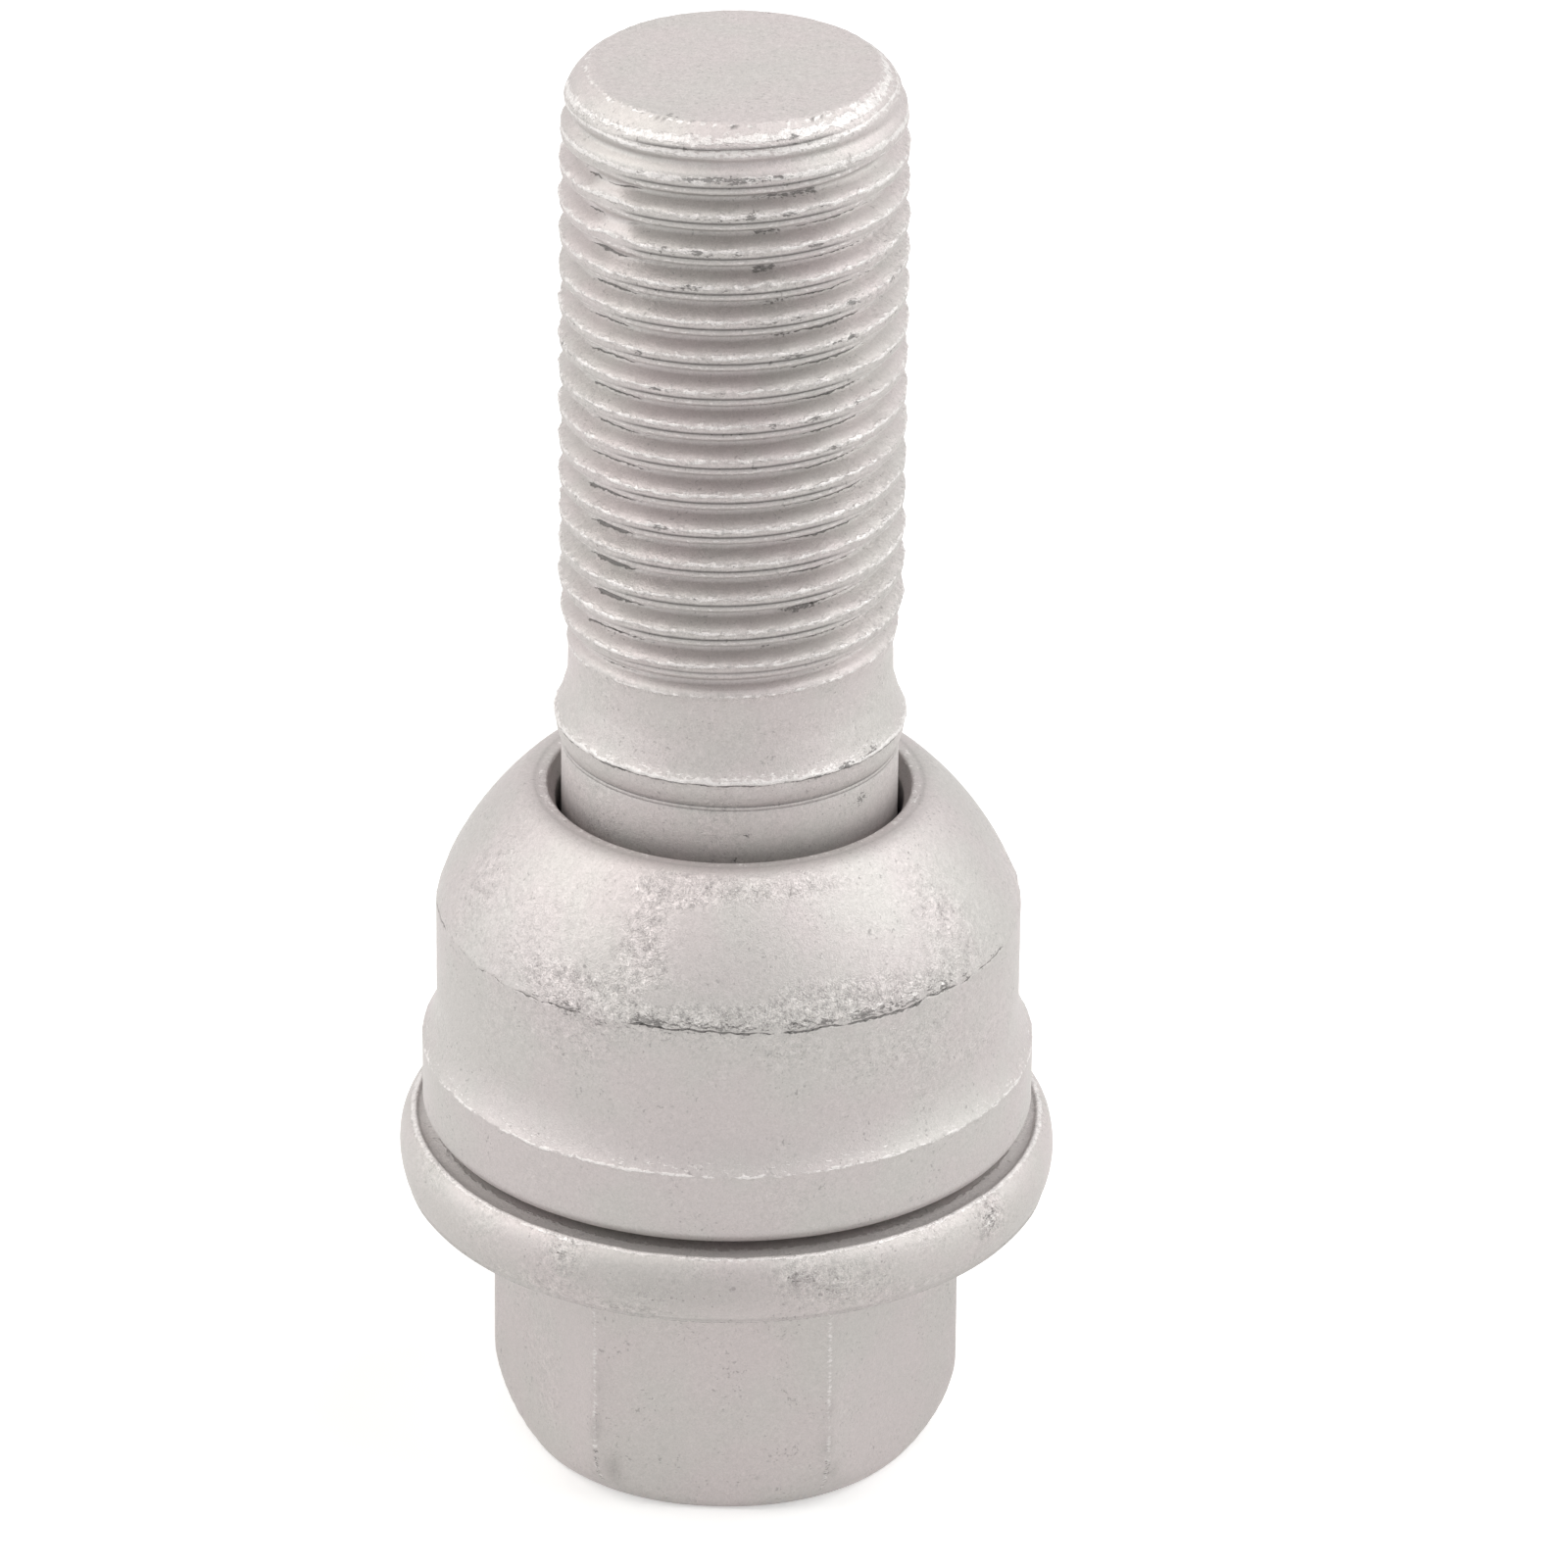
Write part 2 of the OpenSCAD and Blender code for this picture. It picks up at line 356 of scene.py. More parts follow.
on_seat = between(height, 14.28, 14.45) * ramp(11.9, 12.3, radius) * (radius < 12.85)
on_flange_foot = (np.abs(height - 11.6) < 0.3) * (radius > 12.7)
on_bead = np.abs(height - BEAD_EDGE) < 0.3
bead_open = 0.42 + ring_waves(angle, (0.26, 1.1, 26))
# Painted shade: the shank is darker low down, where it goes into the collar's bore
bore_shade = (1 - ramp(29.2, 31, height)) * (height > 20)
shank_spots = spot_mask(angle, height, SHANK_SPOTS)
# Painted dark reflection: the front of the flange's rim, towards the camera, is darker
dark_front_reflection = band_at(angle_from(angle, FRONT), 0, 20) * band_at(height, RIM_CENTRE + 0.1, 0.8) * on_rim
corner = 1 - np.abs((np.degrees(angle) + 30) % 60 - 30) / 30
on_corner = ramp(0.955, 0.995, corner) * between(height, 0.6, CORNERS_TOP)
uneven = ramp(0, 0.8, waves(at, (1, 2.4, 27)))
dented = (height < CORNERS_TOP) * dent_depth(angle, radius, height, DENTS)
body_marks = {
    "lip": weighed(
        # Painted light on the band just above the bead's edge and on the seat; rubbed wear on the burr, the
        # flange's lip, the corners and the rim's spots
        (0.8, burr), (0.36, band_at(height, BEAD_EDGE + 0.26, 0.24)), (0.75, near_lip), (0.5, on_corner),
        (0.28, rim_spots), (0.85, on_seat)),
    "grime": weighed(
        (0.45, rim_spots * pits), (2.2, dented), (0.17, dark_front_reflection), (0.22, bore_shade),
        # Painted shade in the shank's two turned lines
        (0.55, band_at(height, LOWER_LINE, 0.02)), (0.7, band_at(height, UPPER_LINE, 0.02))),
    "flaw": weighed(
        (0.9, tears * band_at(height, BEAD_EDGE - 0.08, 0.07)), (0.5, rim_spots * on_rim), (0.42, on_corner),
        (1, shank_spots), (0.5, band_at(height, 31, 0.6)), (0.4, between(height, 0.3, 2.6))),
    "rough": 0.05 + weighed((0.28, uneven), (0.6, rim_spots), (0.4, near_lip), (0.12, height > 28)),
    # Thin dark lines: one along the flange's lower edge, and one just under the bead's burr as painted
    # shadow of the burr
    "across": 0.5 + np.where(height < 20, height - 11.6, height - BEAD_EDGE + 0.075),
    "open": weighed((0.33, on_flange_foot), (bead_open + 0.4 * shank_spots, on_bead)),
}
body_rows = (angle, radius, height)
print("marks:", sorted(body_marks))

# %% [markdown]
# ## The rolled thread
# Rolling dies squeeze the steel out of the grooves and up into the ridges. The two lips of
# each ridge meet at the top and leave a thin fold there, and the upper lip is flaky and torn.
# A screw modifier could sweep a profile, but the fold has to wander and the ridges to fade. So
# one long ribbon is worked out: its length runs along the helix, its width is one pitch from
# fold to fold, and each turn is sewn to the next one below it.

# %% List the ridge and its damage
# Each row of the ribbon: rise above the fold, radius, shift at the bolt's sides, and its share
# in the torn lip, the low lip, the top land, the fold, the first ridge's width, flaps and wear
RIDGE = np.array([
    [0, 6.875, 0, 0, 0.3, 0, 1, 0, 0, 0.2],
    [0.04, 6.925, 0, 0.1, 0.1, 0.5, 0.6, 0, 0, 0.5],
    [0.12, 6.945, 0, 0.2, 0, 1, 0, 0, 0, 0.75],
    [0.2, 6.955, 0, 0.5, 0, 0.9, 0, 0, 0.2, 0.8],
    [0.262, 6.978, 0, 0.9, 0, 0.3, 0, 0, 0.6, 0.6],
    [0.322, 7, 0, 1, 0, 0, 0, 0, 1, 0.35],
    [0.385, 6.945, 0, 0.7, 0, 0, 0, 0.03, 1, 0.2],
    [0.49, 6.75, 0, 0.2, 0, 0, 0, 0.16, 0.4, 0.1],
    [0.61, 6.53, 0, 0, 0, 0, 0, 0.22, 0, 0],
    [0.73, 6.33, 0, 0, 0, 0, 0, 0.1, 0, 0],
    [0.85, 6.225, 0, 0, 0, 0, 0, 0, 0, 0],
    [0.97, 6.24, 0, 0, 0, 0, 0, 0, 0, 0],
    [1.08, 6.45, 0.08, 0, 0, 0, 0, 0, 0, 0],
    [1.185, 6.73, 0.125, 0, 0.3, 0, 0, 0, 0, 0],
    [1.255, 6.895, 0.145, 0, 0.8, 0, 0, 0, 0, 0],
    [1.35, 6.935, 0.1, 0, 1, 0.2, 0, 0, 0, 0],
    [1.45, 6.92, 0.025, 0, 0.7, 0.3, 0.3, 0, 0, 0]])
TORN_SPOTS = [
    [258.8, 58.95, 3, 0.08, 1], [266, 59.02, 3, 0.08, 1.1], [273, 59.06, 4.5, 0.09, 1.2],
    [288.6, 59.12, 3.5, 0.08, 0.9], [240.9, 58.9, 2.5, 0.07, 0.8], [279.5, 57.62, 1, 0.12, 1.1],
    [291.5, 57.54, 1.2, 0.06, 0.9], [303.3, 57.62, 2, 0.07, 0.7], [250.7, 55.95, 1.2, 0.07, 0.8],
    [301.2, 56, 2, 0.07, 1], [241.2, 51.21, 1, 0.1, 1.3], [247.4, 49.85, 1.6, 0.07, 0.9],
    [254, 50, 1, 0.08, 0.8], [315.2, 53.15, 2.2, 0.08, 1], [309, 51.65, 2.2, 0.06, 0.8],
    [315.9, 51.68, 1.4, 0.07, 1], [293.9, 51.39, 3, 0.05, 0.7], [318.5, 48.7, 1.5, 0.07, 1],
    [60, 52.11, 2, 0.08, 1], [100, 47.78, 2.5, 0.08, 1], [150, 55.49, 1.5, 0.1, 1.1],
    [20, 44.45, 2, 0.08, 0.9], [180, 42.1, 2, 0.08, 1]]
FLAPS = [[283.4, 54.5, 3, 0.4, 0.15], [133, 50, 3, 0.4, 0.12]]
# Smudges: dark marks in the groove under the lower lip, partly dirt and partly painted shadow of the lip
SMUDGES_AND_SHADE = [
    [285, 56.5, 6, 2.4, 1.1], [298, 58.2, 8, 0.35, 1], [306, 56.8, 3, 0.3, 0.9],
    [290.5, 52, 6, 1.5, 0.6], [297, 40, 8, 0.4, 1], [287, 38.4, 4, 0.3, 1],
    [313, 37.4, 14, 0.5, 1.1], [224, 38.4, 8, 0.4, 0.9], [110, 50, 12, 5, 0.8], [60, 44, 12, 3, 0.7]]
print("ridge rows:", len(RIDGE), "torn spots:", len(TORN_SPOTS))

# %% Work out the ribbon of the thread
FIRST_FOLD = 33.534
LOW_END = 35.45
HIGH_END = BOLT_LENGTH - 0.1
TURNS = 20
VIEWED_FROM = math.radians(273)

steps = TURNS * COLUMNS + 1
along = np.arange(steps)[:, None] / COLUMNS
spin = along * FULL_TURN + np.zeros(len(RIDGE))
fold = FIRST_FOLD + along * PITCH
rise, profile, side_shift, torn_lip, low_lip, top_land, fold_row, first_width, flap_row, worn_row = RIDGE.T
to_front = np.abs(np.cos(spin - VIEWED_FROM))
middle_side = ramp(0.7, 0.9, to_front)
ridge_h = rise + (1 - ramp(0.55, 0.88, to_front)) * side_shift
ribbon_h = fold + ridge_h
at = polar(spin, THREAD_RADIUS, ribbon_h)

flakes = waves(at, (1, 0.27, 33), (0.6, 0.7, 34))
ribbon_h += torn_lip * waves(at, (0.05, 1.2, 31), (0.06, 0.36, 32))
ribbon_h += low_lip * waves(at, (0.0125, 1.6, 38))
torn_spots = spot_mask(spin, ribbon_h, TORN_SPOTS)
ribbon_h += flap_row * spot_mask(spin, ribbon_h, FLAPS)
first_ridge = ramp(57.9, 58.4, fold) * (1 - ramp(59.3, 59.8, fold))
chips = ramp(0.35, 0.8, waves(at, (1, 0.5, 36))) * torn_lip
ribbon_r = profile + first_width * first_ridge + 0.055 * fold_row * (1 - middle_side)
ribbon_r += 0.036 * torn_lip * flakes + low_lip * waves(at, (0.012, 0.6, 35))
ribbon_r += top_land * waves(at, (0.022, 0.33, 39)) + waves(at, (0.006, 0.4, 37))
ribbon_r -= weighed((0.06, chips), (0.05, torn_spots))
print("ribbon:", steps, "steps of", len(RIDGE), "rows")

# %% [markdown]
# ## Where the thread begins and ends
# At the neck the groove gets less and less deep and the ridges lose their height, because the
# dies have a sloping first thread. At the tip the blank was turned to a cone before the rolling,
# so no ridge stands higher than that cone. One side of the top three ridges has been knocked
# flat, and steel is smeared into the grooves there.

# %% Fade the thread, cut the tip and press the knock
TIP_RADIUS = 5.89
TIP_START = 5.72
TIP_GROWTH = 1.12
TIP_REACH = 0.6
TIP_SLOPE = 0.06
TIP_CUT = 2.6
FILLED_RADIUS = 6.85
KNOCK_HEIGHT = 56.7
KNOCK_RADIUS = 6.8

full = ramp(35.6, 38.5, ribbon_h)
groove_full = ramp(35.7, 36.9, fold + 0.9)
ribbon_r = NECK_RADIUS + (ribbon_r - NECK_RADIUS) * np.where(ribbon_r > NECK_RADIUS, full, groove_full)
edge_burr = band_at(ribbon_h, fold + 0.37, 0.05) * groove_full * (1 - full)
ribbon_r += 0.025 * edge_burr * (1 + flakes)

filling = np.interp(ribbon_h, [57.9, 59.45, 61], [0, 0.45, 0.75])
ribbon_r += filling * np.maximum(FILLED_RADIUS - ribbon_r, 0)
from_tip = np.maximum(BOLT_LENGTH - ribbon_h, 0)
tip_round = TIP_START + TIP_GROWTH * (1 - np.exp(-from_tip / TIP_REACH)) + TIP_SLOPE * from_tip
tip_round += waves(at, (0.03, 0.8, 41)) + 0.02 * flakes
cut = ramp(-0.04, 0.06, ribbon_r - tip_round) * (from_tip < TIP_CUT)
ribbon_r = soft_least(ribbon_r, tip_round)

knock_across = angle_from(spin, 226.5 + 2.2 * (57 - ribbon_h)) / 7
knock = np.exp(-0.5 * (knock_across ** 4 + ((ribbon_h - KNOCK_HEIGHT) / 1.5) ** 4))
smear = KNOCK_RADIUS + waves(at, (0.06, 0.7, 42))
ribbon_r += knock * (smear - ribbon_r) * np.where(ribbon_r > smear, 1, 0.45)
print("knocked spots:", int((knock > 0.5).sum()), "points")

# %% Mark the lips, folds and grooves
# Painted shadow under each ridge's lower lip, with some dirt in it: the dark line lies lower in
# the groove at the bolt's sides than at its front, just below the lip's edge as the camera sees it
LIP_SHADE_FRONT = [0.4, 0.45, 0.5, 0.545, 0.63, 0.72, 0.84, 0.94, 1]
LIP_SHADE_RISE = [0.7, 0.735, 0.765, 0.795, 0.83, 0.838, 0.842, 0.885, 0.905]

from_left = angle_from(spin, 224) + waves(at, (6, 1.3, 57))
left_side = ramp(-15, -8, from_left) * (1 - ramp(6, 17, from_left))
left_side += band_at(angle_from(spin, 50), 0, 14)
right_side = band_at(angle_from(spin, 310), 0, 12) + band_at(angle_from(spin, 120), 0, 14)
lip_shade_patch = ramp(-0.2, 0.6, waves(at, (1, 1.6, 51), (0.3, 0.5, 58)))
lip_shade_at = np.interp(to_front, LIP_SHADE_FRONT, LIP_SHADE_RISE) + waves(at, (0.015, 1.1, 56))
lip_shade_and_dirt_band = band_at(ridge_h, lip_shade_at - 0.06, 0.1) * full
nick = band_at(ribbon_h, 54.95, 0.06) * band_at(angle_from(spin, 282.5), 0, 3)
ribbon_marks = {
    "lip": weighed(
        (0.62 + 0.3 * flakes, torn_lip * full), (0.4, low_lip * full), (0.6 + 0.4 * flakes, edge_burr),
        # Painted light on the tip's chamfer, where the cone cuts the ridges
        (0.23, cut)),
    # Painted shade in the fold on top of each ridge: strong at the bolt's front and back as the camera sees
    # them, weak at its sides
    "grime": 0.8 * fold_row * (0.12 + 0.88 * middle_side) * full ** 2 * (1 - 0.7 * knock),
    "flaw": weighed(
        (0.75 + waves(at, (0.5, 2.2, 53)), full * (0.8 * worn_row + 0.6 * chips)), (0.95, torn_spots),
        # Painted shadow under the lower lip, with dirt in it: smudges and ragged patches in the groove
        (1.05, lip_shade_and_dirt_band * spot_mask(spin, ribbon_h, SMUDGES_AND_SHADE)),
        (0.55, lip_shade_and_dirt_band * lip_shade_patch * (left_side + right_side)), (0.8, nick)),
    "rough": 0.08 + weighed((0.4, torn_lip), (0.22, ramp(-0.1, 0.6, waves(at, (1, 3, 52))))),
    "across": 0.5 + ridge_h - lip_shade_at,
    "open": (0.1 + (0.34 + 0.4 * lip_shade_patch) * left_side + (0.26 + 0.2 * lip_shade_patch) * right_side)
    * full * (1 - 0.8 * knock) * (ribbon_h < 58),
}

tip_edge = TIP_RADIUS + ring_waves(even, (0.03, 0.5, 55), (0.02, 0.22, 54))
low = ribbon_h < LOW_END + 0.03
high = ribbon_h > HIGH_END - 0.03
edge_radius = tip_edge[np.arange(steps) % COLUMNS][:, None]
ribbon_r = np.where(low, NECK_RADIUS, np.where(high, edge_radius, ribbon_r))
ribbon_h = np.clip(np.where(low, LOW_END, np.where(high, HIGH_END, ribbon_h)), LOW_END, HIGH_END)
print("points kept:", int((~low & ~high).sum()), "of", low.size)

# %% [markdown]
# ## The flat tip
# The tip is a turned face, slightly hollow in places, with a crisp, chipped rim. A few rings
# that end in one middle point close the piece.

# %% Work out the tip's rings
# Each ring: depth under the end face, distance inside the edge, share of rubbed lip and painted light, and
# of scratches
TIP_RINGS = np.array([
    [0.03, 0.07, 0.36, 0.2], [0, 0.16, 0.2, 1.2], [0, 0.5, 0.1, 0.5],
    [0, 1.2, 0, 0], [0, 2.2, 0, 0], [0, 3.4, 0, 0], [0, 4.8, 0, 0]])
CHIPPED_RINGS = 3

depth, inset, rubbed_lit_share, scratch_share = TIP_RINGS.T[..., None]
tip_angle = np.repeat(even[None, :], len(TIP_RINGS), axis=0)
tip_radius = tip_edge[None, :] - inset
tip_radius[CHIPPED_RINGS:] = TIP_RADIUS - inset[CHIPPED_RINGS:]
tip_height = BOLT_LENGTH - np.repeat(depth, COLUMNS, axis=1)
at = polar(tip_angle, tip_radius, tip_height)
tip_height -= (0.012 + waves(at, (0.012, 1.3, 61))) * (depth == 0)
scratch = weighed((1, band_at(angle_from(tip_angle, 248), 0, 3.5)),
                  (0.7, band_at(angle_from(tip_angle, 80), 0, 3)))
flat = np.zeros_like(tip_radius)
tip_marks = dict.fromkeys(body_marks, flat) | {
    "lip": flat + rubbed_lit_share, "flaw": 0.1 + scratch_share * scratch, "rough": flat + 0.25}
print("tip rings:", len(TIP_RINGS))

# %% [markdown]
# ## From arrays to one closed mesh
# The head's rows, the ribbon and the tip are put into one mesh, with four-sided faces between
# neighbouring rows. Where the ribbon's ends were pressed onto a ring, points on one spot are
# merged, and faces without any area vanish with them.

# %% Define the mesh maker
SAME_SPOT = 2e-7


def numbered(first, rows, columns):
    """A grid of vertex numbers that counts on from the first."""
    return first + np.arange(rows * columns).reshape(rows, columns)


def grid_faces(numbers, closed):
    """Faces of a grid of vertex numbers: two neighbours in a row and the two in the next."""
    follow = np.roll(numbers, -1, axis=1) if closed else numbers[:, 1:]
    here = numbers if closed else numbers[:, :-1]
    return np.stack([here[:-1], follow[:-1], follow[1:], here[1:]], axis=-1).reshape(-1, 4)


def add_object(name, data):
    """An object of this data in the scene."""
    made = bpy.data.objects.new(name, data)
    bpy.context.scene.collection.objects.link(made)
    return made


def make_piece(name, points, faces, fans, marks):
    """One mesh object from points in millimetres, four-sided faces, triangles round the middle
    points, and vertex marks. Points on the same spot become one."""
    mesh = bpy.data.meshes.new(name)
    corners = np.concatenate([faces.ravel(), fans.ravel()]).astype(np.int32)
    sizes = np.concatenate([np.full(len(faces), 4), np.full(len(fans), 3)])
    starts = np.concatenate([[0], np.cumsum(sizes)[:-1]]).astype(np.int32)
    mesh.vertices.add(len(points))
    mesh.vertices.foreach_set("co", (points * MM).ravel())
    mesh.loops.add(len(corners))
    mesh.loops.foreach_set("vertex_index", corners)
    mesh.polygons.add(len(sizes))
    mesh.polygons.foreach_set("loop_start", starts)
    mesh.update(calc_edges=True)
    for mark, values in marks.items():
        layer = mesh.attributes.new(mark, "FLOAT", "POINT")
        layer.data.foreach_set("value", np.clip(values, 0, 1).astype(np.float32))
    shape = bmesh.new()
    shape.from_mesh(mesh)
    bmesh.ops.remove_doubles(shape, verts=shape.verts, dist=SAME_SPOT)
    bmesh.ops.recalc_face_normals(shape, faces=shape.faces)
    shape.to_mesh(mesh)
    open_edges = sum(1 for edge in shape.edges if len(edge.link_faces) != 2)
    volume = shape.calc_volume(signed=True) / MM ** 3
    shape.free()
    mesh.shade_smooth()
    triangles = sum(len(p.vertices) - 2 for p in mesh.polygons)
    print(name, len(mesh.vertices), "points,", triangles, "triangles,", open_edges,
          "open edges,", round(volume, 1), "cubic mm")
    return add_object(name, mesh)


# %% Build the bolt
body_points = polar(*body_rows)
neck_ring = polar(even, NECK_RADIUS, np.full(COLUMNS, LOW_END))
ribbon_points = polar(spin, ribbon_r, ribbon_h)
tip_points = polar(tip_angle, tip_radius, tip_height)
middles = np.array([[0, 0, 0], [0, 0, BOLT_LENGTH - 0.01]])
edge_ring = polar(even, tip_edge, np.full(COLUMNS, HIGH_END))

body_numbers = numbered(0, len(body_points), COLUMNS)
neck_numbers = numbered(body_numbers.size, 1, COLUMNS)
ribbon_numbers = numbered(neck_numbers.max() + 1, steps, len(RIDGE))
tip_numbers = numbered(ribbon_numbers.max() + 1, len(TIP_RINGS), COLUMNS)
end_middle, tip_middle = tip_numbers.max() + 1, tip_numbers.max() + 2
edge_numbers = numbered(tip_middle + 1, 1, COLUMNS)

wide = np.concatenate([ribbon_numbers[:-COLUMNS], ribbon_numbers[COLUMNS:, :1]], axis=1)
faces = np.concatenate([grid_faces(np.concatenate([body_numbers, neck_numbers]), True),
                        grid_faces(wide.T, False),
                        grid_faces(np.concatenate([edge_numbers, tip_numbers]), True)])
first_ring, last_ring = body_numbers[0], tip_numbers[-1]
fans = np.concatenate([
    np.stack([np.roll(first_ring, -1), first_ring, np.full(COLUMNS, end_middle)], axis=-1),
    np.stack([last_ring, np.roll(last_ring, -1), np.full(COLUMNS, tip_middle)], axis=-1)])
points = np.concatenate([body_points.reshape(-1, 3), neck_ring, ribbon_points.reshape(-1, 3),
                         tip_points.reshape(-1, 3), middles, edge_ring])
none = np.zeros(COLUMNS)
marks = {key: np.concatenate([body_marks[key].ravel(), none, ribbon_marks[key].ravel(),
                              tip_marks[key].ravel(), [0, 0], none]) for key in body_marks}
bolt = make_piece("forged_bolt", points, faces, fans, marks)
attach(bolt, "bolt")
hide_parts("wheel_bolt")

# %% [markdown]
# ## The seat collar
# The collar's outline is a closed loop: foot, band, hollow flare, wall, ball seat, flat land,
# mouth and bore. Two of its rows follow a wandering height: the broken edge of the flare, and
# the ragged seam where the pressed ball ends on the wall.

# %% List the collar's outline
BALL_CENTRE = 19.9
BALL_RADIUS = 12.8
WALL_RADIUS = BAND_RADIUS - 0.6
SEAM = 24.35
FLARE = 17.94
FLARE_RADIUS = 4
FLARE_CENTRE = COLLAR_FOOT + 5.55
BORE_RADIUS = 7.1

foot = np.array([
    [14.72, 11.9], [14.75, 12.1], [14.84, 12.28], [14.97, 12.44], [15.12, 12.55], [15.28, BAND_RADIUS]])
band = rows_of(np.linspace(15.42, 17.7, 15), BAND_RADIUS)
flare_edge = np.array([[17.82, 12.6], [17.89, 12.605], [FLARE, 12.61], [17.99, 12.585], [18.05, 12.55]])
flare_h = np.linspace(18.15, FLARE_CENTRE, 16)
flare_r = WALL_RADIUS + FLARE_RADIUS - np.sqrt(FLARE_RADIUS ** 2 - (flare_h - FLARE_CENTRE) ** 2)
wall = rows_of(np.linspace(20.2, 24, 23), WALL_RADIUS)
seam_h = SEAM + np.array([-0.19, -0.12, -0.07, -0.035, 0, 0.035, 0.07, 0.13, 0.2])
seam_r = np.where(seam_h < SEAM, WALL_RADIUS, np.sqrt(BALL_RADIUS ** 2 - (seam_h - BALL_CENTRE) ** 2))
lift = np.linspace(math.asin(4.66 / BALL_RADIUS), math.asin((29.19 - BALL_CENTRE) / BALL_RADIUS), 66)
ball = rows_of(BALL_CENTRE + BALL_RADIUS * np.sin(lift), BALL_RADIUS * np.cos(lift))
shoulder = arc_of(7.91, 28.25, 1.3, 1.3, 52, 88, 8)
mouth = np.array([
    [29.55, 7.78], [29.55, 7.62], [29.54, 7.52], [29.5, 7.46], [29.42, 7.425], [29.28, 7.38],
    [29.12, 7.3], [29, 7.22], [28.9, 7.15], [28.8, 7.11], [28.6, BORE_RADIUS]])
bore = rows_of([28.2, 27.4, 25, 21, 17, 15], BORE_RADIUS)
base = np.array([[14.75, 7.16], [14.6, 7.28], [14.5, 7.42], [14.5, 8.6], [14.5, 11], [14.66, 11.5]])
outline = np.concatenate([foot, band, flare_edge, rows_of(flare_h, flare_r), wall, rows_of(seam_h, seam_r),
                          ball, shoulder, mouth, bore, base])
print("collar outline:", len(outline), "rows, bore", BORE_RADIUS, "mm")

# %% [markdown]
# ## The collar's skin
# Above the seam the ball has fine dimples from the press, stronger low down, and a few patches
# of it stayed smooth. The seam is a thin crack that opens and closes along its way, with crumbs
# of steel pushed over it.

# %% List the collar's marks
SMOOTH_SPOTS = [[275.5, 27.2, 12, 1.1, 1.2], [302, 27, 8, 1, 1.2], [260, 25.35, 3, 0.25, 1]]
FLARE_CHIPS = [[243, FLARE, 9, 0.3, 1], [20, FLARE, 12, 0.3, 0.8], [140, FLARE, 14, 0.3, 0.8]]
WALL_MARKS = [
    [242, 23, 8, 0.9, 0.9], [285, 23.3, 5, 0.5, 0.9], [255, 23.9, 14, 0.2, 0.9],
    [312, 22.6, 13, 1, 0.8], [333, 20.8, 8, 0.5, 0.9], [60, 22.5, 18, 1.2, 0.8]]
ROUGH_ZONES = [
    [255.5, 26.6, 4, 1.4, 1.1], [243, 25.1, 9, 0.55, 0.9], [230, 27, 12, 1.4, 0.34],
    [265, 28.95, 10, 0.35, 1.1], [291, 29, 12, 0.35, 0.6], [282, 24.8, 25, 0.3, 1.1],
    [297, 25.3, 9, 0.55, 1], [205, 27, 6, 2, 0.5], [326, 26.3, 8, 2, 0.5],
    [30, 25.4, 20, 1.1, 1], [85, 26.8, 22, 1.2, 0.8], [150, 25.8, 18, 1.3, 1]]
# Each crack of the seam: direction and half width in degrees, and how far it is open
SEAM_CRACKS = [
    [236, 8, 0.62], [258, 2.5, 1], [272, 9, 0.88], [290, 5, 0.85], [309.5, 11.5, 1], [332, 10, 0.7],
    [30, 12, 0.8], [75, 8, 0.9], [110, 10, 0.6], [150, 12, 0.9], [190, 9, 0.7], [217, 8, 0.45]]
print("rough zones:", len(ROUGH_ZONES), "cracks:", len(SEAM_CRACKS))

# %% Work out the collar's surface
RING_COLUMNS = 420
MOUTH_FOOT = 28.9

ring_turn = np.arange(RING_COLUMNS) / RING_COLUMNS * FULL_TURN
ring_angle = np.repeat(ring_turn[None, :], len(outline), axis=0)
ring_h = np.repeat(outline[:, :1], RING_COLUMNS, axis=1)
ring_r = np.repeat(outline[:, 1:], RING_COLUMNS, axis=1)
circle = polar(ring_angle, WALL_RADIUS, 0 * ring_h)
outer = np.minimum(ramp(11.9, 11.97, ring_r) + (ring_h > SEAM) * (ring_r > 8.4), 1) * (ring_h > 15)

from_seam = ring_h - SEAM
from_flare = ring_h - FLARE
seam_wander = waves(circle, (0.13, 5, 71), (0.09, 0.9, 72), (0.06, 0.4, 73)) - 0.16
flare_wander = waves(circle, (0.05, 1.3, 74), (0.03, 0.4, 75))
ring_h += outer * (band_at(from_seam, 0, 0.45) * seam_wander + band_at(from_flare, 0, 0.15) * flare_wander)

at = polar(ring_angle, ring_r, ring_h)
bare = ramp(0.3, 0.8, spot_mask(ring_angle, ring_h, SMOOTH_SPOTS))
on_ball = outer * (from_seam > -0.01)
dimples = ramp(0.1, 0.8, spot_mask(ring_angle, ring_h, ROUGH_ZONES)) * (1 - bare) * on_ball
pebble = waves(at, (1, 0.3, 81), (0.6, 0.62, 82))
wall_marks = spot_mask(ring_angle, ring_h, WALL_MARKS) * outer
speckled = ramp(0.1, 0.9, waves(at, (1, 2.8, 92))) * (1 - bare)

crack = np.zeros_like(ring_h)
for degrees, half, strength in SEAM_CRACKS:
    aside = np.abs(angle_from(ring_angle, degrees))
    crack = np.maximum(crack, strength * (1 - ramp(half, half + 2, aside)))
crack *= ramp(-0.6, 0.1, waves(circle, (1, 0.5, 85), (0.5, 1.5, 86)) + crack - 0.6)
groove = band_at(from_seam, 0, 0.035) * outer
crumbs = band_at(from_seam, 0.15, 0.12) * outer
flare_lip = band_at(from_flare, 0, 0.06) * outer
flare_chips = spot_mask(ring_angle, ring_h, FLARE_CHIPS) * ramp(0.45, 0.8, waves(circle, (1, 0.6, 91)))

